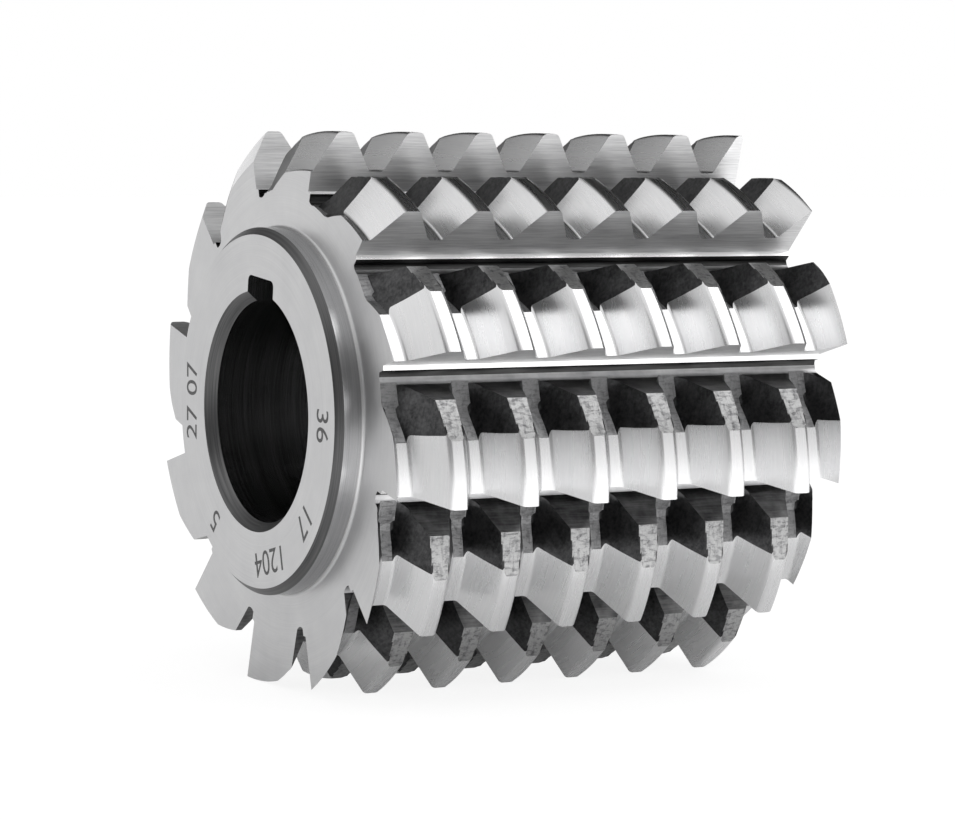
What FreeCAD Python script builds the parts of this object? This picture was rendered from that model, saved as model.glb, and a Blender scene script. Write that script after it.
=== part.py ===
# Gear hob: a single-start, right-hand cutter for involute splines, made from one bar of tool steel.
# The hob's axis lies along +X with the origin at the middle of the bore, +Z up.
# The turned blank carries a collar at each end and a keyed bore.  Straight gashes divide its
# thread into rows of teeth.  Each tooth is relieved behind its cutting face: first along a ground
# land, then more steeply along a land that is left as milled.

import FreeCAD, Part
import math
import os

import Sketcher
from FreeCAD import Placement, Rotation, Vector

doc = FreeCAD.newDocument("GearHob")

# Driving dimensions in millimetres and degrees: name, value, meaning
DIMENSIONS = [
    ("overall_length", "67.5", "over both collars"),
    ("toothed_length", "60.5", "between the two end faces of the toothed body"),
    ("tip_diameter", "70", "over the cutting edges"),
    ("collar_diameter", "44.5", "ground proof collars at both ends"),
    ("collar_chamfer", "0.85", "45 degree chamfer round each collar"),
    ("undercut_height", "1.85", "radial height of the hollow between a collar and the end face"),
    ("undercut_depth", "0.55", "of that hollow below the end face"),
    ("undercut_rise", "0.45", "from the end face to where the hollow starts on the collar"),
    ("bore_diameter", "27", "seat on the arbor"),
    ("bore_chamfer_width", "1.1", "radial width of the chamfer at each mouth"),
    ("bore_chamfer_length", "1.3", "axial length of that chamfer"),
    ("recess_diameter", "28", "relief in the middle of the bore"),
    ("recess_length", "30", "of that relief"),
    ("keyway_width", "7", "across the keyway"),
    ("keyway_across", "29.8", "from the keyway floor to the far side of the bore"),
    ("keyway_corner", "0.8", "radius in the corners of the keyway floor"),
    ("keyway_angle", "5.5", "from +Z towards -Y"),
    ("gash_count", "12", "rows of teeth"),
    ("gash_depth", "8.7", "below the cutting edges"),
    ("gash_radius", "1.35", "of the gash floor"),
    ("gash_angle", "30", "between the cutting face and the back wall of a gash"),
    ("first_face_angle", "15", "cutting faces of the top row, from +Z towards -Y"),
    ("gear_module", "3", "normal module of the gear"),
    ("lead_angle", "2.6667", "of the thread"),
    ("pressure_angle", "30", "of each flank"),
    ("tooth_depth", "4.9", "cutting edge to root"),
    ("tip_land", "1.95", "width of a cutting edge"),
    ("first_tooth_offset", "4", "first whole tooth of the top row, from the near end face"),
    ("ground_angle", "13", "length of the ground land about the axis"),
    ("ground_fall", "3.4", "radial fall of the ground land over one pitch of the gashes"),
    ("back_fall", "9.4", "radial fall of the milled land over one pitch of the gashes"),
    ("back_root_fall", "10.5", "the same along the root of the milled land"),
]

sizes = doc.addObject("Spreadsheet::Sheet", "Sizes")
for line, (name, value, meaning) in enumerate(DIMENSIONS, start=1):
    sizes.set("A%d" % line, name)
    sizes.set("B%d" % line, value)
    sizes.set("C%d" % line, meaning)
    sizes.setAlias("B%d" % line, name)
doc.recompute()


def draw_outline(sketch, corners, arcs=None):
    """Draw a closed outline through corners given as pairs of expressions.

    arcs maps the number of a corner to the expressions of the centre and the radius of the arc
    that leads from it to the next corner.  Every other side is a straight line.
    """
    arcs = arcs or {}
    places = [Vector(float(sketch.evalExpression(across)), float(sketch.evalExpression(up)), 0)
              for across, up in corners]
    count = len(corners)
    starts = []
    for number, here in enumerate(places):
        following = places[(number + 1) % count]
        if number not in arcs:
            sketch.addGeometry(Part.LineSegment(here, following), False)
            starts.append(1)
            continue
        centre_across, centre_up, radius = arcs[number]
        centre = Vector(float(sketch.evalExpression(centre_across)),
                        float(sketch.evalExpression(centre_up)), 0)
        circle = Part.Circle(centre, Vector(0, 0, 1), float(sketch.evalExpression(radius)))
        angle_here = math.atan2(here.y - centre.y, here.x - centre.x)
        angle_following = math.atan2(following.y - centre.y, following.x - centre.x)
        turn = (angle_following - angle_here) % (2 * math.pi)
        if turn < math.pi:
            sketch.addGeometry(Part.ArcOfCircle(circle, angle_here, angle_here + turn), False)
            starts.append(1)
        else:
            back_turn = 2 * math.pi - turn
            arc = Part.ArcOfCircle(circle, angle_following, angle_following + back_turn)
            sketch.addGeometry(arc, False)
            starts.append(2)
    for number in range(count):
        following = (number + 1) % count
        sketch.addConstraint(Sketcher.Constraint(
            "Coincident", number, 3 - starts[number], following, starts[following]))
    for number, (across, up) in enumerate(corners):
        for kind, expression, value in (("DistanceX", across, places[number].x),
                                        ("DistanceY", up, places[number].y)):
            index = sketch.addConstraint(
                Sketcher.Constraint(kind, -1, 1, number, starts[number], value))
            sketch.setExpression("Constraints[%d]" % index, expression)
    for number, (centre_across, centre_up, radius) in arcs.items():
        index = sketch.addConstraint(Sketcher.Constraint(
            "Radius", number, float(sketch.evalExpression(radius))))
        sketch.setExpression("Constraints[%d]" % index, radius)


def add_sketch(body, name, plane_role):
    """Put an empty sketch on one of the body's own origin planes."""
    planes = {feature.Role: feature for feature in body.Origin.OriginFeatures}
    sketch = body.newObject("Sketcher::SketchObject", name)
    sketch.AttachmentSupport = (planes[plane_role], [""])
    sketch.MapMode = "FlatFace"
    return sketch


# The turned blank, one half revolved about the axis and mirrored.  Its toothed part is left
# full by a turning allowance, which the relieving tool then removes.
ALLOWANCE = 1.0

blank = doc.addObject("PartDesign::Body", "Blank")
blank_origin = {feature.Role: feature for feature in blank.Origin.OriginFeatures}

half_length = "Sizes.overall_length / 2"
end_face = "Sizes.toothed_length / 2"
bore_radius = "Sizes.bore_diameter / 2"
collar_radius = "Sizes.collar_diameter / 2"
blank_radius = "Sizes.tip_diameter / 2 + %g" % ALLOWANCE
hollow_floor = end_face + " - Sizes.undercut_depth"

half_section = add_sketch(blank, "HalfSection", "XY_Plane")
draw_outline(
    half_section,
    [
        ("0", "Sizes.recess_diameter / 2"),
        ("Sizes.recess_length / 2", "Sizes.recess_diameter / 2"),
        ("Sizes.recess_length / 2", bore_radius),
        (half_length + " - Sizes.bore_chamfer_length", bore_radius),
        (half_length, bore_radius + " + Sizes.bore_chamfer_width"),
        (half_length, collar_radius + " - Sizes.collar_chamfer"),
        (half_length + " - Sizes.collar_chamfer", collar_radius),
        (end_face + " + Sizes.undercut_rise", collar_radius),
        (hollow_floor, collar_radius + " + Sizes.undercut_height / 2"),
        (end_face, collar_radius + " + Sizes.undercut_height"),
        (end_face, blank_radius),
        ("0", blank_radius),
    ],
)

turned_half = blank.newObject("PartDesign::Revolution", "TurnedHalf")
turned_half.Profile = half_section
turned_half.ReferenceAxis = (half_section, ["H_Axis"])
turned_half.Angle = 360
doc.recompute()

turned = blank.newObject("PartDesign::Mirrored", "Turned")
turned.Originals = [turned_half]
turned.MirrorPlane = (blank_origin["YZ_Plane"], [""])
blank.Tip = turned
doc.recompute()
turned_volume = blank.Shape.Volume

# The keyway, broached through the bore, with rounded floor corners
keyway_half = "Sizes.keyway_width / 2"
keyway_floor = "(Sizes.keyway_across - Sizes.bore_diameter / 2)"
keyway_shoulder = keyway_floor + " - Sizes.keyway_corner"
keyway_inside = keyway_half + " - Sizes.keyway_corner"

keyway_sketch = add_sketch(blank, "KeywaySketch", "YZ_Plane")
keyway_sketch.setExpression("AttachmentOffset.Rotation.Angle", "Sizes.keyway_angle")
draw_outline(
    keyway_sketch,
    [
        ("-" + keyway_half, "0"),
        (keyway_half, "0"),
        (keyway_half, keyway_shoulder),
        (keyway_inside, keyway_floor),
        ("-(" + keyway_inside + ")", keyway_floor),
        ("-" + keyway_half, keyway_shoulder),
    ],
    {
        2: (keyway_inside, keyway_shoulder, "Sizes.keyway_corner"),
        4: ("-(" + keyway_inside + ")", keyway_shoulder, "Sizes.keyway_corner"),
    },
)

keyway = blank.newObject("PartDesign::Pocket", "Keyway")
keyway.Profile = keyway_sketch
keyway.Type = "ThroughAll"
keyway.SideType = "Symmetric"
doc.recompute()
keyed_volume = blank.Shape.Volume

# One gash: a radial cutting face, a round floor and a sloping back wall.  Drawn with the cutting
# face upright, then turned to the top row and repeated round the axis.
gash_top = "(" + blank_radius + " + %g)" % ALLOWANCE
floor_centre = "(Sizes.tip_diameter / 2 - Sizes.gash_depth + Sizes.gash_radius)"
wall_across = "Sizes.gash_radius * (1 + cos(Sizes.gash_angle * 1 deg))"
wall_up = "(" + floor_centre + " - Sizes.gash_radius * sin(Sizes.gash_angle * 1 deg))"
wall_rise = "(" + gash_top + " - " + wall_up + ") * tan(Sizes.gash_angle * 1 deg)"

gash_sketch = add_sketch(blank, "GashSketch", "YZ_Plane")
gash_sketch.setExpression("AttachmentOffset.Rotation.Angle", "Sizes.first_face_angle")
draw_outline(
    gash_sketch,
    [
        ("0", gash_top),
        ("0", floor_centre),
        ("-" + wall_across, wall_up),
        ("-" + wall_across + " - " + wall_rise, gash_top),
    ],
    {1: ("-Sizes.gash_radius", floor_centre, "Sizes.gash_radius")},
)

gash = blank.newObject("PartDesign::Pocket", "Gash")
gash.Profile = gash_sketch
gash.Type = "ThroughAll"
gash.SideType = "Symmetric"
doc.recompute()

gashes = blank.newObject("PartDesign::PolarPattern", "Gashes")
gashes.Originals = [gash]
gashes.Axis = (blank_origin["X_Axis"], [""])
gashes.Angle = 360
gashes.setExpression("Occurrences", "Sizes.gash_count")
blank.Tip = gashes
doc.recompute()
gashed_volume = blank.Shape.Volume

# The thread spaces.  A form tool with the shape of the rack cuts them out of the blank, and its
# infeed behind each cutting face gives the relief.  One row is lofted through outlines that lie
# in planes through the axis; it begins and ends in the open gashes on both sides of the teeth.
row_count = int(round(sizes.gash_count))
row_angle = 360.0 / row_count
tip_radius = sizes.tip_diameter / 2
pitch = math.pi * sizes.gear_module / math.cos(math.radians(sizes.lead_angle))
flank_slope = math.tan(math.radians(sizes.pressure_angle))
first_centre = -sizes.toothed_length / 2 + sizes.first_tooth_offset
outer_radius = tip_radius + 2 * ALLOWANCE

# Where the floor of a gash runs into its back wall, measured from its cutting face
wall_foot_across = float(gash_sketch.evalExpression(wall_across))
wall_foot_up = float(gash_sketch.evalExpression(wall_up))
wall_foot_angle = math.degrees(math.atan2(wall_foot_across, wall_foot_up))
# The infeed stops just above that foot
FOOT_COVER = 0.25
core_radius = math.hypot(wall_foot_across, wall_foot_up) + FOOT_COVER


def radii_behind(angle_behind):
    """Tip and root radius at this angle behind the cutting face."""
    ground = min(angle_behind, sizes.ground_angle) * sizes.ground_fall / row_angle
    milled_angle = max(angle_behind - sizes.ground_angle, 0.0)
    tip = tip_radius - ground - milled_angle * sizes.back_fall / row_angle
    root = tip_radius - sizes.tooth_depth - ground - milled_angle * sizes.back_root_fall / row_angle
    return tip, root


def space_outline(angle_behind, tooth_count):
    """Closed outline of the metal outside a row of teeth at this angle behind the cutting face."""
    tip, root = radii_behind(angle_behind)
    half_tip = sizes.tip_land / 2
    half_root = half_tip + (tip - root) * flank_slope
    helix_shift = pitch * angle_behind / 360
    outline = []
    for tooth in range(-1, tooth_count):
        centre = first_centre - helix_shift + tooth * pitch
        outline.append((centre - half_root, root))
        outline.append((centre - half_tip, tip))
        outline.append((centre + half_tip, tip))
        outline.append((centre + half_root, root))
    outline.append((outline[-1][0], outer_radius))
    outline.append((outline[0][0], outer_radius))
    outline.append(outline[0])
    turn = math.radians(-angle_behind)
    return Part.makePolygon([
        Vector(along, -radius * math.sin(turn), radius * math.cos(turn))
        for along, radius in outline
    ])


# Angles behind the cutting face at which the outlines stand.  The first lies ahead of the face
# and the last past the teeth, both in an open gash.
AHEAD_OF_FACE = 0.3
GROUND_STEPS = 3
MILLED_STEPS = 2
ROW_END_SHARE = 0.9
row_end = row_angle - ROW_END_SHARE * wall_foot_angle
stations = [-AHEAD_OF_FACE]
for step in range(1, GROUND_STEPS + 1):
    stations.append(sizes.ground_angle * step / GROUND_STEPS)
for step in range(1, MILLED_STEPS + 1):
    stations.append(sizes.ground_angle + (row_end - sizes.ground_angle) * step / MILLED_STEPS)

teeth_across = math.ceil(sizes.toothed_length / pitch) + 1
swept_spaces = Part.makeLoft([space_outline(angle, teeth_across) for angle in stations], True, True)

# The outlines dip below the gash floors behind the teeth, so the spaces are kept off the core
CORE_OVERHANG = 1.0
swept_box = swept_spaces.BoundBox
core = Part.makeCylinder(
    core_radius,
    swept_box.XLength + 2 * CORE_OVERHANG,
    Vector(swept_box.XMin - CORE_OVERHANG, 0, 0),
    Vector(1, 0, 0),
)
row_of_spaces = swept_spaces.cut(core)

rows = []
for number in range(row_count):
    # The thread advances one pitch a turn; the shift is kept within half a pitch either way
    turns = number / row_count
    row = doc.addObject("Part::Feature", "Spaces%02d" % (number + 1))
    row.Shape = row_of_spaces
    row.Placement = Placement(
        Vector((turns - round(turns)) * pitch, 0, 0),
        Rotation(Vector(1, 0, 0), sizes.first_face_angle + number * row_angle),
    )
    rows.append(row)

thread_spaces = doc.addObject("Part::Compound", "ThreadSpaces")
thread_spaces.Links = rows

hob = doc.addObject("Part::Cut", "Hob")
hob.Label = "hob"
hob.Base = blank
hob.Tool = thread_spaces
doc.recompute()

# Everything must have been rebuilt, and every cut must have removed metal
for item in doc.Objects:
    if "Invalid" in item.State or "Error" in item.State:
        raise RuntimeError("%s failed: %s" % (item.Label, item.State))
volumes = [turned_volume, keyed_volume, gashed_volume, hob.Shape.Volume]
if volumes != sorted(volumes, reverse=True):
    raise RuntimeError("a cut removed nothing: %s" % volumes)
if hob.Shape.isNull() or not hob.Shape.isValid() or len(hob.Shape.Solids) != 1:
    raise RuntimeError("the hob is not one valid solid")

os.makedirs("parts", exist_ok=True)
hob.Shape.Solids[0].exportStep(os.path.join("parts", hob.Label + ".step"))
print("hob: %d faces, %.0f mm3" % (len(hob.Shape.Faces), hob.Shape.Volume))
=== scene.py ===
import math

import bmesh
import bpy
from mathutils import Matrix, Vector


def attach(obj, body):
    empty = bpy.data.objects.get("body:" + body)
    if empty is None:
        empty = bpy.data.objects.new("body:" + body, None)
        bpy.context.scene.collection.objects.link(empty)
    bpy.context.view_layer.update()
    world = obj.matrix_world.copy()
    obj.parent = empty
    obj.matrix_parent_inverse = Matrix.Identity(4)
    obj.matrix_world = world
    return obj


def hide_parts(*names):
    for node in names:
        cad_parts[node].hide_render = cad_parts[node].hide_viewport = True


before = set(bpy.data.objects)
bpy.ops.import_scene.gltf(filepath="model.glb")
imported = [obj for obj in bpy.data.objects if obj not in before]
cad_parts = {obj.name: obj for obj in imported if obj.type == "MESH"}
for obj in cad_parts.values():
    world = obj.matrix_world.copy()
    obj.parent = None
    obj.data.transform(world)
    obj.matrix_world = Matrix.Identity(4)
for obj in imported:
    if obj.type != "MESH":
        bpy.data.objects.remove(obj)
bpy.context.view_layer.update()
scene = bpy.context.scene

# The gear hob: one piece of hardened tool steel, carried by an arbor and driven by a key in its
# bore.  The blank is turned, the thread is cut and relieved behind every tooth and the gashes are
# milled.  After hardening the lands, cutting faces, ends, collars and bore are ground.
MM = 0.001


class Number:
    """A value carried by a node socket, so that a rule in a node tree reads as arithmetic."""

    def __init__(self, tree, socket):
        self.tree = tree
        self.socket = socket

    def work(self, operation, *others):
        node = self.tree.nodes.new("ShaderNodeMath")
        node.operation = operation
        for place, value in zip(node.inputs, (self,) + others):
            if isinstance(value, Number):
                self.tree.links.new(value.socket, place)
            else:
                place.default_value = value
        return Number(self.tree, node.outputs[0])

    def __add__(self, other):
        return self.work("ADD", other)

    def __sub__(self, other):
        return self.work("SUBTRACT", other)

    def __mul__(self, other):
        return self.work("MULTIPLY", other)

    def __truediv__(self, other):
        return self.work("DIVIDE", other)

    def floor(self):
        return self.work("FLOOR")

    def sin(self):
        return self.work("SINE")

    def cos(self):
        return self.work("COSINE")

    def size(self):
        return self.work("ABSOLUTE")

    def lower(self, other):
        return self.work("MINIMUM", other)

    def upper(self, other):
        return self.work("MAXIMUM", other)

    def under(self, other):
        return self.work("LESS_THAN", other)

    def choose(self, yes, no):
        """yes where this is 1 and no where it is 0."""
        return self * (yes - no) + no


def shader_group(name, inputs, outputs):
    """An empty shader node group with named inputs and outputs."""
    group = bpy.data.node_groups.new(name, "ShaderNodeTree")
    for label, kind, value in inputs:
        socket = group.interface.new_socket(label, in_out="INPUT", socket_type=kind)
        if value is not None:
            socket.default_value = value
    for label, kind in outputs:
        group.interface.new_socket(label, in_out="OUTPUT", socket_type=kind)
    return group, group.nodes.new("NodeGroupInput"), group.nodes.new("NodeGroupOutput")


def add_noise(tree, vector, detail, rough):
    """A noise texture at a vector, with its Scale socket left for the caller."""
    noise = tree.nodes.new("ShaderNodeTexNoise")
    noise.inputs["Scale"].default_value = 1.0
    noise.inputs["Detail"].default_value = detail
    noise.inputs["Roughness"].default_value = rough
    tree.links.new(vector, noise.inputs["Vector"])
    return noise.outputs["Fac"], noise.inputs["Scale"]


# Coordinates that follow the bar: distance along it, distance from its axis, angle round it
bar, _, bar_out = shader_group(
    "bar coordinates",
    [],
    [("Along", "NodeSocketFloat"), ("Radius", "NodeSocketFloat"), ("Angle", "NodeSocketFloat"),
     ("Point", "NodeSocketVector")],
)
bar_place = bar.nodes.new("ShaderNodeTexCoord")
bar_parts = bar.nodes.new("ShaderNodeSeparateXYZ")
bar.links.new(bar_place.outputs["Object"], bar_parts.inputs[0])
bar_side = Number(bar, bar_parts.outputs["Y"])
bar_height = Number(bar, bar_parts.outputs["Z"])
bar_radius = (bar_side * bar_side + bar_height * bar_height).work("SQRT")
bar.links.new(bar_parts.outputs["X"], bar_out.inputs["Along"])
bar.links.new(bar_radius.socket, bar_out.inputs["Radius"])
bar.links.new((bar_side * -1.0).work("ARCTAN2", bar_height).socket, bar_out.inputs["Angle"])
bar.links.new(bar_place.outputs["Object"], bar_out.inputs["Point"])

# Fine tool lines.  Across is the direction that they are stacked in, Run the one they follow.
# Bands are the same lines, broader.
BAND_SHARE = 0.17
lines, lines_in, lines_out = shader_group(
    "tool lines",
    [("Across", "NodeSocketFloat", 0.0), ("Run", "NodeSocketFloat", 0.0),
     ("Lines per mm", "NodeSocketFloat", 8.0), ("Length mm", "NodeSocketFloat", 6.0)],
    [("Lines", "NodeSocketFloat"), ("Bands", "NodeSocketFloat")],
)
across = Number(lines, lines_in.outputs["Across"])
run = Number(lines, lines_in.outputs["Run"])
density = Number(lines, lines_in.outputs["Lines per mm"])
reach = Number(lines, lines_in.outputs["Length mm"])
for label, share in (("Lines", 1.0), ("Bands", BAND_SHARE)):
    stretched = lines.nodes.new("ShaderNodeCombineXYZ")
    lines.links.new((across * density * (share / MM)).socket, stretched.inputs["X"])
    lines.links.new((run * (1.0 / MM) / reach * share).socket, stretched.inputs["Y"])
    grain, _ = add_noise(lines, stretched.outputs[0], 3.0, 0.6)
    lines.links.new(grain, lines_out.inputs[label])

# Specks and clouds, as scale, dried oil and fine pits leave on steel
specks, specks_in, specks_out = shader_group(
    "specks and clouds",
    [("Point", "NodeSocketVector", None), ("Specks per mm", "NodeSocketFloat", 4.0),
     ("Clouds per mm", "NodeSocketFloat", 0.35)],
    [("Specks", "NodeSocketFloat"), ("Clouds", "NodeSocketFloat")],
)
for label, rate, detail in (("Specks", "Specks per mm", 2.0), ("Clouds", "Clouds per mm", 4.0)):
    per_metre = Number(specks, specks_in.outputs[rate]) * (1.0 / MM)
    spots, scale = add_noise(specks, specks_in.outputs["Point"], detail, 0.62)
    specks.links.new(per_metre.socket, scale)
    specks.links.new(spots, specks_out.inputs[label])


def steel(name, dark, light, rough, metallic=1.0):
    """A steel finish to which a pattern and a bump are then joined.

    dark and light are the colours that the pattern mixes, and rough is the pair of roughness
    values at the pattern's ends.  Returned: the material, its tree, the sockets for the colour's
    pattern and for the roughness, and the bar's coordinates.
    """
    material = bpy.data.materials.new(name)
    material.use_nodes = True
    tree = material.node_tree
    shader = tree.nodes["Principled BSDF"]
    shader.inputs["Metallic"].default_value = metallic
    mix = tree.nodes.new("ShaderNodeMix")
    mix.data_type = "RGBA"
    mix.inputs["A"].default_value = (*dark, 1.0)
    mix.inputs["B"].default_value = (*light, 1.0)
    tree.links.new(mix.outputs["Result"], shader.inputs["Base Color"])
    spread = tree.nodes.new("ShaderNodeMapRange")
    spread.inputs["To Min"].default_value = rough[0]
    spread.inputs["To Max"].default_value = rough[1]
    tree.links.new(spread.outputs["Result"], shader.inputs["Roughness"])
    coordinates = tree.nodes.new("ShaderNodeGroup")
    coordinates.node_tree = bar
    return material, tree, mix.inputs["Factor"], spread.inputs["Value"], coordinates


def add_lines(tree, across_socket, run_socket, per_mm, length_mm):
    node = tree.nodes.new("ShaderNodeGroup")
    node.node_tree = lines
    tree.links.new(across_socket, node.inputs["Across"])
    tree.links.new(run_socket, node.inputs["Run"])
    node.inputs["Lines per mm"].default_value = per_mm
    node.inputs["Length mm"].default_value = length_mm
    return Number(tree, node.outputs["Lines"]), Number(tree, node.outputs["Bands"])


def add_specks(tree, point_socket, specks_per_mm, clouds_per_mm):
    node = tree.nodes.new("ShaderNodeGroup")
    node.node_tree = specks
    tree.links.new(point_socket, node.inputs["Point"])
    node.inputs["Specks per mm"].default_value = specks_per_mm
    node.inputs["Clouds per mm"].default_value = clouds_per_mm
    return Number(tree, node.outputs["Specks"]), Number(tree, node.outputs["Clouds"])


def add_bump(tree, height, depth_mm):
    bump = tree.nodes.new("ShaderNodeBump")
    bump.inputs["Strength"].default_value = 1.0
    bump.inputs["Distance"].default_value = depth_mm * MM
    tree.links.new(height.socket, bump.inputs["Height"])
    tree.links.new(bump.outputs["Normal"], tree.nodes["Principled BSDF"].inputs["Normal"])


def stretch(value, low, high):
    """0 at low and 1 at high, and no further."""
    return ((value - low) / (high - low)).upper(0.0).lower(1.0)


# The blank as turned
overall_length = 67.5 * MM
toothed_length = 60.5 * MM
tip_radius = 35.0 * MM
collar_radius = 22.25 * MM
collar_chamfer = 0.85 * MM
collar_fillet = 0.4 * MM
bore_radius = 13.5 * MM
mouth_width = 1.1 * MM
mouth_length = 1.3 * MM
recess_radius = 14.0 * MM
recess_length = 30.0 * MM
recess_slope = 0.5 * MM
turning_allowance = 1.0 * MM
TURNED_STEPS = 192
FILLET_STEPS = 6

# End faces, collar faces and the fillets at the collars' feet, ground in rings
ground_face, tree, tone, gloss, at = steel(
    "ground face", (0.52, 0.52, 0.53), (0.68, 0.68, 0.68), (0.30, 0.42))
fine, bands = add_lines(tree, at.outputs["Radius"], at.outputs["Angle"], 7.0, 900.0)
_, cloud = add_specks(tree, at.outputs["Point"], 3.0, 0.15)
tree.links.new((stretch(fine, 0.3, 0.7) * 0.3 + bands * 0.3
                + stretch(cloud, 0.3, 0.7) * 0.4).socket, tone)
tree.links.new(cloud.socket, gloss)
add_bump(tree, fine, 0.004)

# The collars' cylinders, ground true with the bore
proof_collar, tree, tone, gloss, at = steel(
    "proof collar", (0.34, 0.34, 0.35), (0.60, 0.60, 0.60), (0.20, 0.30))
fine, bands = add_lines(tree, at.outputs["Along"], at.outputs["Angle"], 8.0, 900.0)
tree.links.new((stretch(fine, 0.3, 0.7) * 0.5 + bands * 0.5).socket, tone)
tree.links.new(bands.socket, gloss)
add_bump(tree, fine, 0.004)

# Turned chamfers, dark from hardening
turned_edge, tree, tone, gloss, at = steel(
    "turned edge", (0.06, 0.06, 0.063), (0.20, 0.20, 0.20), (0.32, 0.46))
fine, bands = add_lines(tree, at.outputs["Radius"], at.outputs["Angle"], 6.0, 900.0)
tree.links.new((stretch(fine, 0.3, 0.7) * 0.6 + bands * 0.4).socket, tone)
tree.links.new(bands.socket, gloss)
add_bump(tree, fine, 0.008)

# Bore and keyway
honed_bore, tree, tone, gloss, at = steel(
    "honed bore", (0.16, 0.16, 0.165), (0.62, 0.62, 0.62), (0.16, 0.30))
fine, bands = add_lines(tree, at.outputs["Along"], at.outputs["Angle"], 6.0, 900.0)
tree.links.new((stretch(fine, 0.3, 0.7) * 0.5 + bands * 0.5).socket, tone)
tree.links.new(bands.socket, gloss)
add_bump(tree, fine, 0.005)

# The far half of the blank's section: (along, radius, finish of the surface that starts there)
half_length = overall_length / 2
end_face = toothed_length / 2
section = [
    (recess_length / 2, recess_radius, honed_bore),
    (recess_length / 2 + recess_slope, bore_radius, honed_bore),
    (half_length - mouth_length, bore_radius, turned_edge),
    (half_length, bore_radius + mouth_width, ground_face),
    (half_length, collar_radius - collar_chamfer, turned_edge),
    (half_length - collar_chamfer, collar_radius, proof_collar),
]
for step in range(FILLET_STEPS + 1):
    angle = math.radians(270.0 - 90.0 * step / FILLET_STEPS)
    section.append((end_face + collar_fillet + collar_fillet * math.cos(angle),
                    collar_radius + collar_fillet + collar_fillet * math.sin(angle), ground_face))
section.append((end_face, tip_radius + turning_allowance, ground_face))
mirrored = [(-along, radius) for along, radius, finish in reversed(section)]
mirrored_finish = [finish for along, radius, finish in reversed(section)][1:] + [honed_bore]
outline = [(along, radius) for along, radius, finish in section] + mirrored
section_finishes = [finish for along, radius, finish in section] + mirrored_finish

blank_points = []
for along, radius in outline:
    for step in range(TURNED_STEPS):
        angle = 2 * math.pi * step / TURNED_STEPS
        blank_points.append((along, radius * math.cos(angle), radius * math.sin(angle)))
blank_faces = []
blank_finishes = []
for number, finish in enumerate(section_finishes):
    ring = number * TURNED_STEPS
    next_ring = (number + 1) % len(outline) * TURNED_STEPS
    for step in range(TURNED_STEPS):
        after = (step + 1) % TURNED_STEPS
        blank_faces.append((ring + step, ring + after, next_ring + after, next_ring + step))
        blank_finishes.append(finish)
blank_mesh = bpy.data.meshes.new("blank")
blank_mesh.from_pydata(blank_points, [], blank_faces)

# The gash tool, drawn for the top row: upright cutting face, the ledge where the grinding wheel
# stopped, round floor, sloping back wall
gash_depth = 8.7 * MM
gash_radius = 1.35 * MM
gash_angle = math.radians(32.0)
ledge_width = 0.55 * MM
ledge_drop = 0.17 * MM
tool_half_length = 40.0 * MM
tool_top = tip_radius + 2.0 * MM
FLOOR_STEPS = 8
# Facets of the floor, next to the step, that carry the painted shade
PAINTED_SHADE_STEPS = 3

# Cutting faces, ground along the gash
cutting_face, tree, tone, gloss, at = steel(
    "cutting face", (0.44, 0.44, 0.45), (0.94, 0.94, 0.94), (0.34, 0.48), 0.85)
fine, bands = add_lines(tree, at.outputs["Radius"], at.outputs["Along"], 6.0, 5.0)
_, cloud = add_specks(tree, at.outputs["Point"], 3.0, 0.30)
tree.links.new((stretch(fine, 0.3, 0.7) * 0.45 + stretch(bands, 0.3, 0.7) * 0.35
                + cloud * 0.2).socket, tone)
tree.links.new(bands.socket, gloss)
add_bump(tree, fine, 0.008)

# The ledge that the wheel's edge leaves at the foot of each cutting face, painted near white: a
# painted highlight
painted_highlight_ledge, tree, tone, gloss, at = steel(
    "wheel line", (0.86, 0.86, 0.86), (0.97, 0.97, 0.97), (0.22, 0.34))
fine, bands = add_lines(tree, at.outputs["Radius"], at.outputs["Along"], 5.0, 9.0)
tree.links.new((stretch(fine, 0.3, 0.7) * 0.6 + bands * 0.4).socket, tone)
tree.links.new(bands.socket, gloss)
add_bump(tree, fine, 0.004)

# The dark step beside it, painted near black: painted shade, carried on over the first facets of
# the floor
painted_shade_step, tree, tone, gloss, at = steel(
    "scale line", (0.01, 0.01, 0.01), (0.07, 0.07, 0.07), (0.20, 0.35))
fine, bands = add_lines(tree, at.outputs["Radius"], at.outputs["Along"], 5.0, 5.0)
tree.links.new((stretch(fine, 0.3, 0.7) * 0.5 + stretch(bands, 0.3, 0.7) * 0.5).socket, tone)
tree.links.new(bands.socket, gloss)
add_bump(tree, fine, 0.008)

# Gash floors, milled round
gash_floor, tree, tone, gloss, at = steel(
    "gash floor", (0.34, 0.34, 0.35), (0.66, 0.66, 0.66), (0.30, 0.42))
fine, bands = add_lines(tree, at.outputs["Radius"], at.outputs["Along"], 5.0, 9.0)
_, cloud = add_specks(tree, at.outputs["Point"], 2.0, 0.4)
tree.links.new((stretch(fine, 0.3, 0.7) * 0.5 + stretch(cloud, 0.3, 0.65) * 0.5).socket, tone)
tree.links.new(bands.socket, gloss)
add_bump(tree, fine, 0.008)

# Back walls of the gashes, milled, and painted dark: painted shade for the hollow under the teeth
shaded_back_wall, tree, tone, gloss, at = steel(
    "back wall", (0.05, 0.05, 0.052), (0.32, 0.32, 0.32), (0.24, 0.40))
fine, bands = add_lines(tree, at.outputs["Radius"], at.outputs["Along"], 4.0, 5.0)
_, cloud = add_specks(tree, at.outputs["Point"], 2.0, 0.4)
tree.links.new((stretch(fine, 0.3, 0.7) * 0.4 + stretch(cloud, 0.35, 0.7) * 0.5).socket, tone)
tree.links.new(bands.socket, gloss)
add_bump(tree, fine, 0.01)

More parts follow.
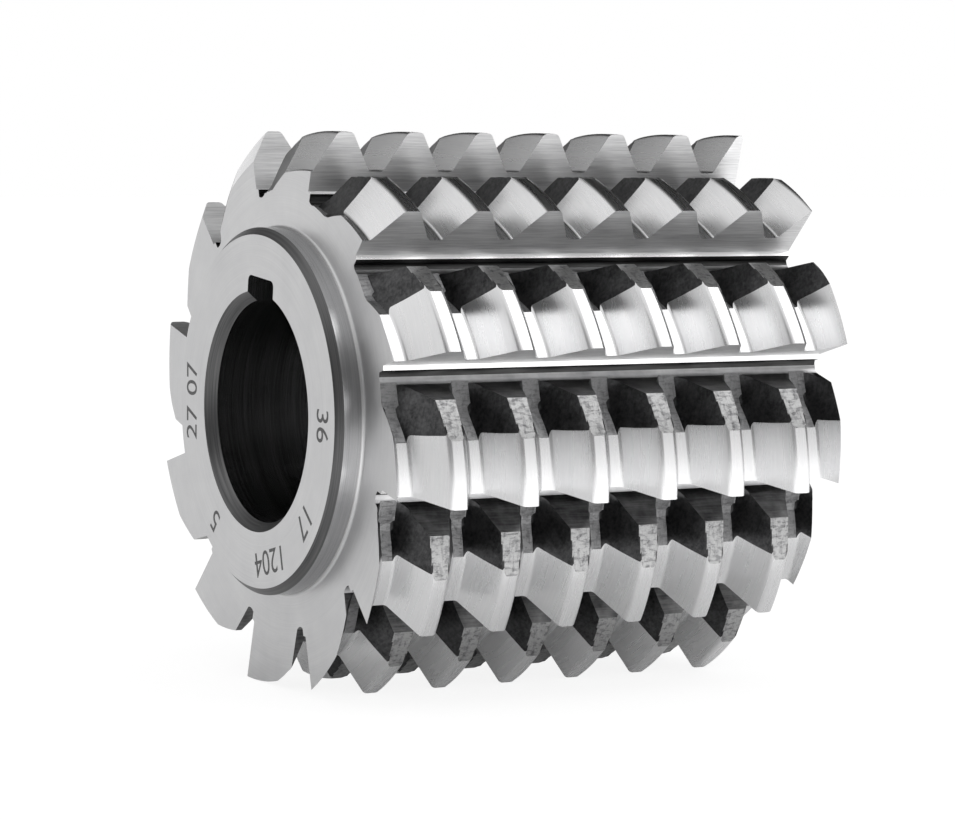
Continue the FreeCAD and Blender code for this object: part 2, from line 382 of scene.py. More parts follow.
floor_centre = tip_radius - gash_depth + gash_radius
gash_outline = [(0.0, tool_top), (0.0, floor_centre), (-ledge_width, floor_centre - ledge_drop)]
floor_start = math.acos((gash_radius - ledge_width) / gash_radius)
floor_end = math.pi / 2 + gash_angle
for step in range(FLOOR_STEPS + 1):
    angle = -floor_start - (floor_end - floor_start) * step / FLOOR_STEPS
    gash_outline.append((-gash_radius + gash_radius * math.cos(angle),
                         floor_centre + gash_radius * math.sin(angle)))
wall_foot = gash_outline[-1]
gash_outline.append((wall_foot[0] - (tool_top - wall_foot[1]) * math.tan(gash_angle), tool_top))
# The ledge's facet takes the painted highlight
gash_finishes = [ground_face, ground_face, cutting_face, painted_highlight_ledge, painted_shade_step]
# The step and the first facets of the floor take the painted shade
gash_finishes += [painted_shade_step] * PAINTED_SHADE_STEPS + [gash_floor] * (FLOOR_STEPS - PAINTED_SHADE_STEPS)
gash_finishes += [shaded_back_wall, gash_floor]


def prism_mesh(name, outline):
    """A closed prism along the axis, from an outline given as (y, z) points in order."""
    count = len(outline)
    points = [(-tool_half_length, y, z) for y, z in outline]
    points += [(tool_half_length, y, z) for y, z in outline]
    faces = [tuple(reversed(range(count))), tuple(range(count, 2 * count))]
    for number in range(count):
        after = (number + 1) % count
        faces.append((number, after, count + after, count + number))
    mesh = bpy.data.meshes.new(name)
    mesh.from_pydata(points, [], faces)
    return mesh


gash_mesh = prism_mesh("gash", gash_outline)

# The keyway's broach, turned a little from the top
keyway_half = 3.5 * MM
keyway_floor = 16.3 * MM
keyway_corner = 0.8 * MM
keyway_turn = math.radians(5.5)
CORNER_STEPS = 6
keyway_outline = [(-keyway_half, 0.0)]
for side_sign in (-1, 1):
    for step in range(CORNER_STEPS + 1):
        share = step / CORNER_STEPS if side_sign < 0 else 1 - step / CORNER_STEPS
        angle = math.radians(90.0 * share)
        keyway_outline.append((
            side_sign * (keyway_half - keyway_corner + keyway_corner * math.cos(angle)),
            keyway_floor - keyway_corner + keyway_corner * math.sin(angle)))
keyway_outline.append((keyway_half, 0.0))
keyway_mesh = prism_mesh("keyway", [
    (y * math.cos(keyway_turn) - z * math.sin(keyway_turn),
     y * math.sin(keyway_turn) + z * math.cos(keyway_turn)) for y, z in keyway_outline])

# The thread: one start, right hand, relieved behind each cutting face by grinding and then milling
pitch = math.pi * 3.0 * MM / math.cos(math.radians(2.6667))
tooth_depth = 4.9 * MM
tip_land = 1.95 * MM
pressure_angle = math.radians(30.0)
tip_rounding = 0.7 * MM
root_rounding = 0.6 * MM
rows = 12
first_face_angle = 15.0
first_tooth = 4.0 * MM
ground_angle = 13.0
ground_fall = 3.4 * MM
back_fall = 8.6 * MM
back_flank_fall = 6.6 * MM
back_root_fall = 10.5 * MM
milled_root_depth = 0.3 * MM
milled_flank_stock = 0.12 * MM

# Ground relief: the lands, flanks and roots behind the cutting edges
ground_relief, tree, tone, gloss, at = steel(
    "ground relief", (0.66, 0.66, 0.67), (0.82, 0.82, 0.82), (0.23, 0.32))
fine, bands = add_lines(tree, at.outputs["Along"], at.outputs["Angle"], 9.0, 120.0)
_, cloud = add_specks(tree, at.outputs["Point"], 3.0, 0.30)
tree.links.new((fine * 0.7 + cloud * 0.3).socket, tone)
tree.links.new(bands.socket, gloss)
add_bump(tree, fine, 0.002)

# Milled lands and roots behind them, light but torn by the cutter into short steps, and painted
# darker down in the roots as painted shade, fading out between the two radii
ROOT_PAINTED_SHADE = 0.45
DARK_RADIUS, LIGHT_RADIUS = 28.5 * MM, 30.5 * MM
milled_strip, tree, tone, gloss, at = steel(
    "milled strip", (0.14, 0.14, 0.145), (0.46, 0.46, 0.46), (0.34, 0.50))
fine, _ = add_lines(tree, at.outputs["Angle"], at.outputs["Along"], 0.09, 1.1)
grain, _ = add_lines(tree, at.outputs["Along"], at.outputs["Angle"], 1.9, 45.0)
fleck, cloud = add_specks(tree, at.outputs["Point"], 5.0, 0.5)
torn = stretch(fine, 0.40, 0.50) * 0.45 + stretch(grain, 0.38, 0.48) * 0.35
# Painted shade: the colour darkens towards the roots
painted_root_shade = (stretch(Number(tree, at.outputs["Radius"]), DARK_RADIUS, LIGHT_RADIUS)
         * (1.0 - ROOT_PAINTED_SHADE) + ROOT_PAINTED_SHADE)
tree.links.new(((torn + stretch(fleck, 0.35, 0.65) * 0.25 - 0.05).upper(0.0).lower(1.0)
                * painted_root_shade).socket, tone)
tree.links.new(cloud.socket, gloss)
add_bump(tree, torn + fleck * 0.3, 0.03)

# Milled flanks, smooth, painted near black: painted shade for the deep thread spaces, with specks
# and clouds
shaded_milled_flank, tree, tone, gloss, at = steel(
    "milled flank", (0.025, 0.025, 0.026), (0.12, 0.12, 0.122), (0.26, 0.40))
fleck, cloud = add_specks(tree, at.outputs["Point"], 2.2, 0.45)
fine, _ = add_lines(tree, at.outputs["Radius"], at.outputs["Angle"], 5.0, 60.0)
tree.links.new((stretch(cloud, 0.35, 0.70) * 0.4 + stretch(fleck, 0.35, 0.7) * 0.4
                + stretch(fine, 0.3, 0.7) * 0.2).socket, tone)
tree.links.new(cloud.socket, gloss)
add_bump(tree, fleck * 0.5 + fine * 0.5, 0.012)

# Distances from the tooth's middle at which its profile bends, ground and milled
slope = 1.0 / math.tan(pressure_angle)
half_tip = tip_land / 2
half_root = half_tip + tooth_depth / slope
tangent = math.tan((math.pi / 2 - pressure_angle) / 2)
tip_start = half_tip - tip_rounding * tangent
tip_run = tip_rounding * math.cos(pressure_angle)
root_start = half_root + root_rounding * tangent
root_run = root_rounding * math.cos(pressure_angle)
flank_foot = root_start - root_run
milled_tip = half_tip + milled_flank_stock / slope
milled_corner = half_root + milled_root_depth / slope + milled_flank_stock / slope
bends = [0.0, tip_start, tip_start + 0.2 * tip_run, tip_start + 0.4 * tip_run, half_tip,
         milled_tip, milled_tip + 0.08 * MM, tip_start + tip_run,
         milled_tip + 0.25 * MM, milled_tip + 0.34 * MM, milled_tip + 0.44 * MM]
bends += [(bends[-1] + flank_foot) / 2, flank_foot, root_start - 0.83 * root_run, half_root,
          half_root + 0.4 * (milled_corner - half_root), milled_corner, root_start]


def profile_heights(distance):
    """Heights of the milled flank and of the ground profile, this far from the tooth's middle."""
    flank = (half_root - distance) * slope
    ground = min(max(flank, 0.0), tooth_depth)
    past_tip = distance - tip_start
    if 0 < past_tip < tip_run:
        ground = tooth_depth - tip_rounding + math.sqrt(tip_rounding ** 2 - past_tip ** 2)
    short_of_root = root_start - distance
    if 0 < short_of_root < root_run:
        ground = root_rounding - math.sqrt(root_rounding ** 2 - short_of_root ** 2)
    return flank + milled_flank_stock, ground


# One pitch of the profile, from one root's middle to the next: x is the place along the pitch, y
# the height of the milled flank and z that of the ground profile
places = [0.0] + [pitch / 2 - bend for bend in reversed(bends)]
places += [pitch / 2 + bend for bend in bends[1:]]
profile_mesh = bpy.data.meshes.new("tooth profile")
profile_mesh.from_pydata(
    [(place, *profile_heights(abs(place - pitch / 2))) for place in places],
    [(number, number + 1) for number in range(len(places) - 1)], [])
profile = bpy.data.objects.new("tooth profile", profile_mesh)
scene.collection.objects.link(profile)

# The blank and the two tools, each with the whole list of finishes, which the tree counts on
HOB_MATERIALS = [ground_face, ground_relief, milled_strip, shaded_milled_flank, cutting_face, painted_highlight_ledge,
                 painted_shade_step, gash_floor, shaded_back_wall, proof_collar, turned_edge, honed_bore]
keyway_finishes = [honed_bore] * len(keyway_mesh.polygons)
helpers = {}
for mesh, mesh_finishes in ((blank_mesh, blank_finishes), (gash_mesh, gash_finishes),
                            (keyway_mesh, keyway_finishes)):
    work = bmesh.new()
    work.from_mesh(mesh)
    bmesh.ops.recalc_face_normals(work, faces=work.faces)
    work.to_mesh(mesh)
    work.free()
    for material in HOB_MATERIALS:
        mesh.materials.append(material)
    for polygon, finish in zip(mesh.polygons, mesh_finishes):
        polygon.material_index = HOB_MATERIALS.index(finish)
    helpers[mesh.name] = bpy.data.objects.new(mesh.name, mesh)
    scene.collection.objects.link(helpers[mesh.name])

# The form that relieves the teeth.  Its grid starts a pitch and a half before the first tooth,
# each row starts a little ahead of its cutting face, and past the teeth it closes on a core.
lead_in = 1.5 * pitch
start_ahead = 2.8
thread_end = 33.0 * MM
form_end = 36.0 * MM
form_core = 27.0 * MM
floor_clearance = 0.15 * MM
FLANK_LEAN = 0.6
END_COLUMNS = 3.0
HOB_INPUTS = [
    ("Points per Pitch", "NodeSocketInt", len(places)),
    ("Pitches", "NodeSocketInt", 9),
    ("Rows", "NodeSocketInt", rows),
    ("Ground Steps", "NodeSocketInt", 11),
    ("Milled Steps", "NodeSocketInt", 8),
    ("Pitch", "NodeSocketFloat", pitch),
    ("First Place", "NodeSocketFloat", -toothed_length / 2 + first_tooth - lead_in),
    ("First Face", "NodeSocketFloat", first_face_angle),
    ("Root Radius", "NodeSocketFloat", tip_radius - tooth_depth),
    ("Tooth Depth", "NodeSocketFloat", tooth_depth),
    ("Ground Angle", "NodeSocketFloat", ground_angle),
    ("Ground Fall", "NodeSocketFloat", ground_fall),
    ("Back Fall", "NodeSocketFloat", back_fall),
    ("Back Flank Fall", "NodeSocketFloat", back_flank_fall),
    ("Back Root Fall", "NodeSocketFloat", back_root_fall),
    ("Milled Root Depth", "NodeSocketFloat", milled_root_depth),
    ("Lowest Radius", "NodeSocketFloat", tip_radius - gash_depth + floor_clearance),
    ("Start Ahead", "NodeSocketFloat", start_ahead),
    ("Thread End", "NodeSocketFloat", thread_end),
    ("Form End", "NodeSocketFloat", form_end),
    ("Form Core", "NodeSocketFloat", form_core),
    ("Blank", "NodeSocketObject", helpers["blank"]),
    ("Gash Tool", "NodeSocketObject", helpers["gash"]),
    ("Keyway Tool", "NodeSocketObject", helpers["keyway"]),
    ("Ground Finish", "NodeSocketMaterial", ground_relief),
    ("Milled Finish", "NodeSocketMaterial", milled_strip),
    ("Milled Flank Finish", "NodeSocketMaterial", shaded_milled_flank),
]

form = bpy.data.node_groups.new("hob form", "GeometryNodeTree")
form.interface.new_socket("Geometry", in_out="INPUT", socket_type="NodeSocketGeometry")
sockets = {}
for label, kind, value in HOB_INPUTS:
    sockets[label] = form.interface.new_socket(label, in_out="INPUT", socket_type=kind)
form.interface.new_socket("Geometry", in_out="OUTPUT", socket_type="NodeSocketGeometry")
given = form.nodes.new("NodeGroupInput")
result = form.nodes.new("NodeGroupOutput")


def size(label):
    """The value of one of the tree's inputs."""
    return Number(form, given.outputs[label])


# A grid, one line of vertices per step round the bar and one column per point of the profile.
# Each column follows the thread, and three more at each end close the form.
columns = size("Points per Pitch") * size("Pitches") + 2.0 * END_COLUMNS
steps_in_row = size("Ground Steps") + size("Milled Steps") + 1.0
lines_round = steps_in_row * size("Rows") + 1.0
grid = form.nodes.new("GeometryNodeMeshGrid")
form.links.new(columns.socket, grid.inputs["Vertices X"])
form.links.new(lines_round.socket, grid.inputs["Vertices Y"])
index = Number(form, form.nodes.new("GeometryNodeInputIndex").outputs[0])
column = ((index + 0.5) / lines_round).floor()
line = index - column * lines_round
row = ((line + 0.5) / steps_in_row).floor()
step = line - row * steps_in_row

# The profile's point for this column
thread_column = column - END_COLUMNS
turn_of_thread = ((thread_column + 0.5) / size("Points per Pitch")).floor()
point_number = thread_column - turn_of_thread * size("Points per Pitch")
sample = form.nodes.new("GeometryNodeSampleIndex")
sample.data_type = "FLOAT_VECTOR"
sample.domain = "POINT"
form.links.new(given.outputs["Geometry"], sample.inputs["Geometry"])
form.links.new(form.nodes.new("GeometryNodeInputPosition").outputs[0], sample.inputs["Value"])
form.links.new(point_number.socket, sample.inputs["Index"])
split = form.nodes.new("ShaderNodeSeparateXYZ")
form.links.new(sample.outputs["Value"], split.inputs[0])
place_in_pitch = Number(form, split.outputs["X"])
flank_height = Number(form, split.outputs["Y"])
ground_height = Number(form, split.outputs["Z"])

# Each land falls away behind its cutting face.  The milled tip, flank and root each fall at a rate
# of their own, and a column's surfaces meet where the ground and the milled one are equally high.
row_angle = (size("Rows") / 360.0).work("POWER", -1.0)
ground_rate = size("Ground Fall") / row_angle
tip_rate = size("Back Fall") / row_angle
root_rate = size("Back Root Fall") / row_angle
root_height = size("Milled Root Depth") * -1.0
height_share = (flank_height / size("Tooth Depth")).upper(0.0).lower(1.0)
flank_rate = root_rate + (size("Back Flank Fall") / row_angle - root_rate) * height_share
is_tip = size("Tooth Depth").under(flank_height)
is_root = flank_height.under(root_height)
milled_height = flank_height.lower(size("Tooth Depth")).upper(root_height)
milled_rate = is_tip.choose(tip_rate, is_root.choose(root_rate, flank_rate))
meeting = size("Ground Angle") + (milled_height - ground_height) / (milled_rate - ground_rate)
ahead = size("Start Ahead")
on_ground = step.under(size("Ground Steps") + 0.5)


def angle_behind(meeting):
    """The angle behind the cutting face of this step, for a row whose surfaces meet there."""
    ground = (meeting + ahead) * step / size("Ground Steps") - ahead
    milled = meeting + (row_angle - ahead - meeting) * (
        (step - size("Ground Steps")) / size("Milled Steps"))
    return on_ground.choose(ground, milled)


behind = angle_behind(meeting)


def fallen(height, rate):
    """The radius here of a milled surface that stands this high where the ground land ends."""
    return (size("Root Radius") + height + (rate - ground_rate) * size("Ground Angle")
            - rate * behind)


ground_radius = size("Root Radius") + ground_height - ground_rate * behind
milled_radius = fallen(flank_height, flank_rate).lower(fallen(size("Tooth Depth"), tip_rate))
milled_radius = milled_radius.upper(fallen(root_height, root_rate))
radius = on_ground.choose(ground_radius, milled_radius.upper(size("Lowest Radius")))

# Places along and round the bar.  Past the ends the form drops to its core, runs on to its end and
# closes on the axis, with one column for each.
along = (size("First Place") + turn_of_thread * size("Pitch") + place_in_pitch
         - (row * row_angle + behind) * size("Pitch") / 360.0)
end_left = column.under(END_COLUMNS - 0.5).upper(along.under(size("Thread End") * -1.0))
end_right = (columns - END_COLUMNS - 0.5).under(column).upper(size("Thread End").under(along))
past_end = end_left.upper(end_right)
behind = past_end.choose(angle_behind(size("Ground Angle")), behind)
angle = (size("First Face") - row * row_angle - behind) * (math.pi / 180.0)
cap_left = column.under(END_COLUMNS - 1.5)
cap_right = (columns - END_COLUMNS + 0.5).under(column)
axis_left = column.under(END_COLUMNS - 2.5)
axis_right = (columns - END_COLUMNS + 1.5).under(column)
along = end_left.choose(size("Thread End") * -1.0, along)
along = end_right.choose(size("Thread End"), along)
along = cap_left.choose(size("Form End") * -1.0, along)
along = cap_right.choose(size("Form End"), along)
radius = past_end.choose(size("Form Core"), radius)
radius = axis_left.upper(axis_right).choose(radius * 0.0, radius)
joined = form.nodes.new("ShaderNodeCombineXYZ")
form.links.new(along.socket, joined.inputs["X"])
form.links.new((radius * angle.sin() * -1.0).socket, joined.inputs["Y"])
form.links.new((radius * angle.cos()).socket, joined.inputs["Z"])

# Which faces were left as milled is kept before the grid is bent, while the index still tells
kept = form.nodes.new("GeometryNodeStoreNamedAttribute")
kept.data_type = "FLOAT"
kept.domain = "POINT"
kept.inputs["Name"].default_value = "milled"
form.links.new(grid.outputs["Mesh"], kept.inputs["Geometry"])
form.links.new((size("Ground Steps") - 0.5).under(step).socket, kept.inputs["Value"])
bent = form.nodes.new("GeometryNodeSetPosition")
form.links.new(kept.outputs["Geometry"], bent.inputs["Geometry"])
form.links.new(joined.outputs[0], bent.inputs["Position"])
closed = form.nodes.new("GeometryNodeMergeByDistance")
closed.inputs["Distance"].default_value = 0.001 * MM
form.links.new(bent.outputs["Geometry"], closed.inputs["Geometry"])

# The bent grid counts its finishes from one, so these three come second, third and fourth in the
# hob's list.  A milled face that leans towards the ends is a flank.
finish_all = form.nodes.new("GeometryNodeSetMaterial")
form.links.new(closed.outputs["Geometry"], finish_all.inputs["Geometry"])
form.links.new(given.outputs["Ground Finish"], finish_all.inputs["Material"])
is_milled = form.nodes.new("GeometryNodeInputNamedAttribute")
is_milled.data_type = "FLOAT"
is_milled.inputs["Name"].default_value = "milled"
finish_milled = form.nodes.new("GeometryNodeSetMaterial")
form.links.new(finish_all.outputs["Geometry"], finish_milled.inputs["Geometry"])
form.links.new(given.outputs["Milled Finish"], finish_milled.inputs["Material"])
milled_face = (Number(form, is_milled.outputs["Attribute"]) * -1.0).under(-0.99)
form.links.new(milled_face.socket, finish_milled.inputs["Selection"])
face_normal = form.nodes.new("ShaderNodeSeparateXYZ")
form.links.new(form.nodes.new("GeometryNodeInputNormal").outputs[0], face_normal.inputs[0])
leaning = Number(form, face_normal.outputs["X"]).size()
milled_leaning = (milled_face * leaning * -1.0).under(-FLANK_LEAN)
# Milled faces that lean towards the ends take the flank finish with its painted shade
finish_flank = form.nodes.new("GeometryNodeSetMaterial")
form.links.new(finish_milled.outputs["Geometry"], finish_flank.inputs["Geometry"])
form.links.new(given.outputs["Milled Flank Finish"], finish_flank.inputs["Material"])
form.links.new(milled_leaning.socket, finish_flank.inputs["Selection"])


def solid_of(label):
    """The mesh of an object given to the tree."""
    info = form.nodes.new("GeometryNodeObjectInfo")
    form.links.new(given.outputs[label], info.inputs["Object"])
    return info.outputs["Geometry"]


def combine(operation, first, second):
    """Two solids cut or joined, with the second's finishes first in the list."""
    node = form.nodes.new("GeometryNodeMeshBoolean")
    node.operation = operation
    node.solver = "MANIFOLD"
    form.links.new(second, node.inputs["Mesh 2"])
    first_place = "Mesh 1" if operation == "DIFFERENCE" else "Mesh 2"
    form.links.new(first, node.inputs[first_place])
    return node.outputs["Mesh"]


# One gash tool for each row, turned about the axis
spots = form.nodes.new("GeometryNodePoints")
form.links.new(size("Rows").socket, spots.inputs["Count"])
spots.inputs["Position"].default_value = (0.0, 0.0, 0.0)
turn = form.nodes.new("ShaderNodeCombineXYZ")
number = Number(form, form.nodes.new("GeometryNodeInputIndex").outputs[0])
form.links.new(((size("First Face") + number * row_angle) * (math.pi / 180.0)).socket,
               turn.inputs["X"])
tools = form.nodes.new("GeometryNodeInstanceOnPoints")
form.links.new(spots.outputs[0], tools.inputs["Points"])
form.links.new(solid_of("Gash Tool"), tools.inputs["Instance"])
form.links.new(turn.outputs[0], tools.inputs["Rotation"])
real_tools = form.nodes.new("GeometryNodeRealizeInstances")
form.links.new(tools.outputs["Instances"], real_tools.inputs["Geometry"])

relieved = combine("INTERSECT", solid_of("Blank"), finish_flank.outputs["Geometry"])
gashed = combine("DIFFERENCE", relieved, real_tools.outputs["Geometry"])
keyed = combine("DIFFERENCE", gashed, solid_of("Keyway Tool"))
whole = form.nodes.new("GeometryNodeRealizeInstances")
form.links.new(keyed, whole.inputs["Geometry"])
final_finish = form.nodes.new("GeometryNodeSetMaterial")
form.links.new(whole.outputs["Geometry"], final_finish.inputs["Geometry"])
form.links.new(given.outputs["Milled Finish"], final_finish.inputs["Material"])
finish_number = Number(form, form.nodes.new("GeometryNodeInputMaterialIndex").outputs[0])
is_strip = (finish_number - HOB_MATERIALS.index(milled_strip)).size().under(0.5)
form.links.new(is_strip.socket, final_finish.inputs["Selection"])
form.links.new(final_finish.outputs["Geometry"], result.inputs[0])

modifier = profile.modifiers.new("hob form", "NODES")
modifier.node_group = form
for label, kind, value in HOB_INPUTS:
    modifier[sockets[label].identifier] = value
bpy.context.view_layer.update()
formed = profile.evaluated_get(bpy.context.evaluated_depsgraph_get())
hob_mesh = bpy.data.meshes.new_from_object(formed)
hob_mesh.name = "gear_hob"
for helper in [profile, *helpers.values()]:
    bpy.data.objects.remove(helper)

# Ground and milled surfaces meet in crisp edges; only curved ones are shaded smooth
CRISP_ANGLE = math.radians(14.0)
hob_mesh.shade_smooth()
hob_mesh.set_sharp_from_angle(angle=CRISP_ANGLE)
finishes_at = {}
for polygon in hob_mesh.polygons:
    for key in polygon.edge_keys:
        finishes_at.setdefault(key, set()).add(polygon.material_index)
for edge in hob_mesh.edges:
    if len(finishes_at[edge.key]) > 1:
        edge.use_edge_sharp = True

hob = bpy.data.objects.new("gear_hob", hob_mesh)
scene.collection.objects.link(hob)
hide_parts("hob")
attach(hob, "root")

# The size marks on the near hub face: plain numbers, etched after grinding and left dark by the
# acid.  They stand in the hub and end a hair's breadth proud of its face.
mark_radius = 18.1 * MM
mark_size = 4.3 * MM
mark_depth = 0.12 * MM
mark_proud = 0.01 * MM
MARK_CURVE_STEPS = 5
# Each number, and its angle in degrees about the bore from the right as one looks at the face
MARKS = [("36", -1.0), ("17", -41.0), ("1204", -76.0), ("5", -128.0), ("27 07", 180.0)]

etched_mark, tree, tone, gloss, at = steel(
    "etched mark", (0.05, 0.05, 0.052), (0.17, 0.17, 0.17), (0.50, 0.64), 0.6)
fleck, cloud = add_specks(tree, at.outputs["Point"], 6.0, 1.2)
tree.links.new((stretch(fleck, 0.3, 0.7) * 0.6 + cloud * 0.4).socket, tone)
tree.links.new(cloud.socket, gloss)
add_bump(tree, fleck, 0.01)

marks_work = bmesh.new()
for body, degrees in MARKS:
    curve = bpy.data.curves.new("mark", "FONT")
    curve.body = body
    curve.size = mark_size
    curve.align_x = "CENTER"
    curve.align_y = "CENTER"
    curve.extrude = mark_depth / 2
    curve.resolution_u = MARK_CURVE_STEPS
    writing = bpy.data.objects.new("mark", curve)
    scene.collection.objects.link(writing)
    bpy.context.view_layer.update()
    letters = bpy.data.meshes.new_from_object(
        writing.evaluated_get(bpy.context.evaluated_depsgraph_get()))
    bpy.data.objects.remove(writing)
    mark_angle = math.radians(degrees)
    outwards = Vector((0.0, -math.cos(mark_angle), math.sin(mark_angle)))
    middle = outwards * mark_radius
    middle.x = mark_depth / 2 - mark_proud - overall_length / 2
    reading = outwards.cross(Vector((-1.0, 0.0, 0.0)))
    for vertex in letters.vertices:
        vertex.co = (middle + reading * vertex.co.x + outwards * vertex.co.y
                     - Vector((vertex.co.z, 0.0, 0.0)))
    marks_work.from_mesh(letters)
    bpy.data.meshes.remove(letters)
bmesh.ops.remove_doubles(marks_work, verts=marks_work.verts, dist=0.0005 * MM)
bmesh.ops.recalc_face_normals(marks_work, faces=marks_work.faces)
marks_mesh = bpy.data.meshes.new("size_marks")
marks_work.to_mesh(marks_mesh)
marks_work.free()
marks_mesh.materials.clear()
marks_mesh.materials.append(etched_mark)
size_marks = bpy.data.objects.new("size_marks", marks_mesh)
scene.collection.objects.link(size_marks)
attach(size_marks, "root")

# The floor that the hob lies on: white paper, lit a little from within so that it fades into the
# white surround.  The hob's shadow stays on it.
floor_half = 3.0
floor_gap = 0.02 * MM
PAPER_GLOW = 1.1
CAMERA_SHARE, MIRROR_SHARE = 0.8, 0.1
floor_height = min(vertex.co.z for vertex in hob_mesh.vertices) - floor_gap
floor_mesh = bpy.data.meshes.new("floor")
floor_mesh.from_pydata(
    [(-floor_half, -floor_half, floor_height), (floor_half, -floor_half, floor_height),
     (floor_half, floor_half, floor_height), (-floor_half, floor_half, floor_height)],
    [], [(0, 1, 2, 3)])
paper = bpy.data.materials.new("paper")
paper.use_nodes = True
tree = paper.node_tree
shader = tree.nodes["Principled BSDF"]
shader.inputs["Base Color"].default_value = (0.9, 0.9, 0.9, 1.0)
shader.inputs["Roughness"].default_value = 0.9
shader.inputs["Specular IOR Level"].default_value = 0.0
glow = tree.nodes.new("ShaderNodeEmission")
glow.inputs["Strength"].default_value = PAPER_GLOW
seen = tree.nodes.new("ShaderNodeLightPath")
blend = tree.nodes.new("ShaderNodeMixShader")
share = (Number(tree, seen.outputs["Is Camera Ray"]) * CAMERA_SHARE
         + Number(tree, seen.outputs["Is Glossy Ray"]) * MIRROR_SHARE)
tree.links.new(share.socket, blend.inputs[0])
tree.links.new(shader.outputs[0], blend.inputs[1])
tree.links.new(glow.outputs[0], blend.inputs[2])
tree.links.new(blend.outputs[0], tree.nodes["Material Output"].inputs["Surface"])
floor_mesh.materials.append(paper)
floor = bpy.data.objects.new("floor", floor_mesh)
scene.collection.objects.link(floor)

# The surround: an even white tent.  The camera and mirrors see it at full white, and it lights
# the hob a little less.
TENT_LIGHT = 0.85
world = bpy.data.worlds.new("surround")
scene.world = world
world.use_nodes = True
tree = world.node_tree
background = tree.nodes["Background"]
background.inputs["Color"].default_value = (1.0, 1.0, 1.0, 1.0)
path = tree.nodes.new("ShaderNodeLightPath")
seen = (Number(tree, path.outputs["Is Camera Ray"])
        .upper(Number(tree, path.outputs["Is Glossy Ray"]))
        .upper(Number(tree, path.outputs["Is Transmission Ray"])))
strength = seen * (1.0 - TENT_LIGHT) + TENT_LIGHT
tree.links.new(strength.socket, background.inputs["Strength"])

# The lamp and the cards: one soft lamp above, and cards round the tent that only the steel's
# reflections show.  Dark ones draw the shaded sides, a light one on the floor the bright lands.


def add_softbox(name, place, sides, energy):
    """A lamp that looks at the hob, its first side level with the hob's axis."""
    light = bpy.data.lights.new(name, "AREA")
    light.shape = "RECTANGLE"
    light.size, light.size_y = sides
    light.energy = energy
    lamp = bpy.data.objects.new(name, light)
    scene.collection.objects.link(lamp)
    back = Vector(place).normalized()
    level = (Vector((1, 0, 0)) - back * back.x).normalized()
    rise = back.cross(level)
    lamp.matrix_world = Matrix((
        (level.x, rise.x, back.x, place[0]),
        (level.y, rise.y, back.y, place[1]),
        (level.z, rise.z, back.z, place[2]),
        (0.0, 0.0, 0.0, 1.0)))


def add_card(name, corners, glow=0.0, fade=None):
    """A card that only reflections show.

    glow is how light it is.  fade gives the places along x where that light is full and where
    it has gone.
    """
    mesh = bpy.data.meshes.new(name)
    mesh.from_pydata(corners, [], [(0, 1, 2, 3)])
    card = bpy.data.objects.new(name, mesh)
    scene.collection.objects.link(card)
    material = bpy.data.materials.new(name)
    material.use_nodes = True
    tree = material.node_tree
    shader = tree.nodes["Principled BSDF"]
    shader.inputs["Base Color"].default_value = (0.02, 0.02, 0.02, 1.0)
    shader.inputs["Roughness"].default_value = 1.0
    shader.inputs["Specular IOR Level"].default_value = 0.0
    shader.inputs["Emission Color"].default_value = (1.0, 1.0, 1.0, 1.0)
    shader.inputs["Emission Strength"].default_value = glow
    if fade:
        place = tree.nodes.new("ShaderNodeTexCoord")
        parts = tree.nodes.new("ShaderNodeSeparateXYZ")
        tree.links.new(place.outputs["Object"], parts.inputs[0])
        share = stretch(Number(tree, parts.outputs["X"]), fade[1], fade[0])
        tree.links.new((share * glow).socket, shader.inputs["Emission Strength"])
    mesh.materials.append(material)
    card.visible_camera = False
    card.visible_shadow = False
    card.visible_diffuse = False


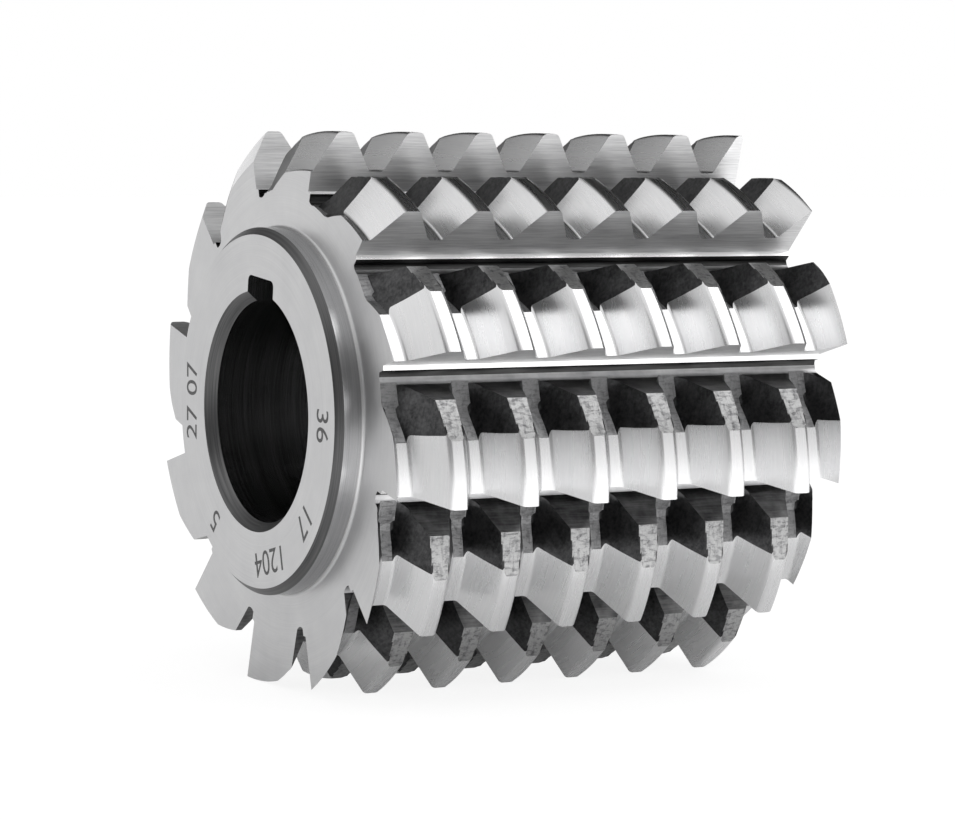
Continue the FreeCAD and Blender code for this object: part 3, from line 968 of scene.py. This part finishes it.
add_softbox("softbox", (0.49, -0.44, 0.755), (0.9, 0.45), 1.6)
add_card("card above",
         [(-0.20, -0.12, 0.97), (0.85, -0.08, 0.70), (0.75, 0.75, 0.20), (-0.58, 0.80, 0.28)],
         0.42, (-0.25, 0.05))
add_card("card in front",
         [(-0.1, -1.0, 0.24), (1.0, -0.75, 0.24), (1.1, -0.70, 0.50), (0.0, -0.84, 0.50)])
add_card("card behind the camera",
         [(-0.50, -0.06, -0.03), (0.04, -0.50, -0.03), (0.06, -0.46, 0.26), (-0.46, -0.04, 0.26)],
         0.22)
light_height = floor_height + 0.5 * MM
add_card("light card in front",
         [(-0.1, -0.045, light_height), (0.9, -0.045, light_height),
          (0.9, -1.0, light_height), (-0.1, -1.0, light_height)], 1.6)
add_card("card on the right",
         [(0.8, -0.5, 0.0), (0.8, 0.6, 0.0), (0.8, 0.6, 0.8), (0.8, -0.5, 0.8)])

# The camera, fitted to the photograph: turned round from -Y, a little above the axis and rolled
# a little.  It looks past the middle of the near end face.
PHOTO_WIDTH = 955.0
FOCAL_PIXELS = 3437.0
camera_turn = math.radians(29.22)
camera_rise = math.radians(4.53)
camera_roll = math.radians(0.58)
near_middle = Vector((-29.48, 0.0, 0.0)) * MM
near_middle_seen = Vector((-23.21, -0.07, 417.5)) * MM
camera_data = bpy.data.cameras.new("camera")
camera_data.sensor_width = 36.0
camera_data.lens = FOCAL_PIXELS / PHOTO_WIDTH * camera_data.sensor_width
camera_data.clip_start = 0.01
camera = bpy.data.objects.new("camera", camera_data)
scene.collection.objects.link(camera)
scene.camera = camera
forward = Vector((math.sin(camera_turn) * math.cos(camera_rise),
                  math.cos(camera_turn) * math.cos(camera_rise), -math.sin(camera_rise)))
right = Vector((math.cos(camera_turn), -math.sin(camera_turn), 0.0))
up = right.cross(forward)
view_right = math.cos(camera_roll) * right + math.sin(camera_roll) * up
view_up = -math.sin(camera_roll) * right + math.cos(camera_roll) * up
stand = near_middle - (view_right * near_middle_seen.x + view_up * near_middle_seen.y
                       + forward * near_middle_seen.z)
camera.matrix_world = Matrix((
    (view_right.x, view_up.x, -forward.x, stand.x),
    (view_right.y, view_up.y, -forward.y, stand.y),
    (view_right.z, view_up.z, -forward.z, stand.z),
    (0.0, 0.0, 0.0, 1.0)))

scene.view_settings.view_transform = "Standard"
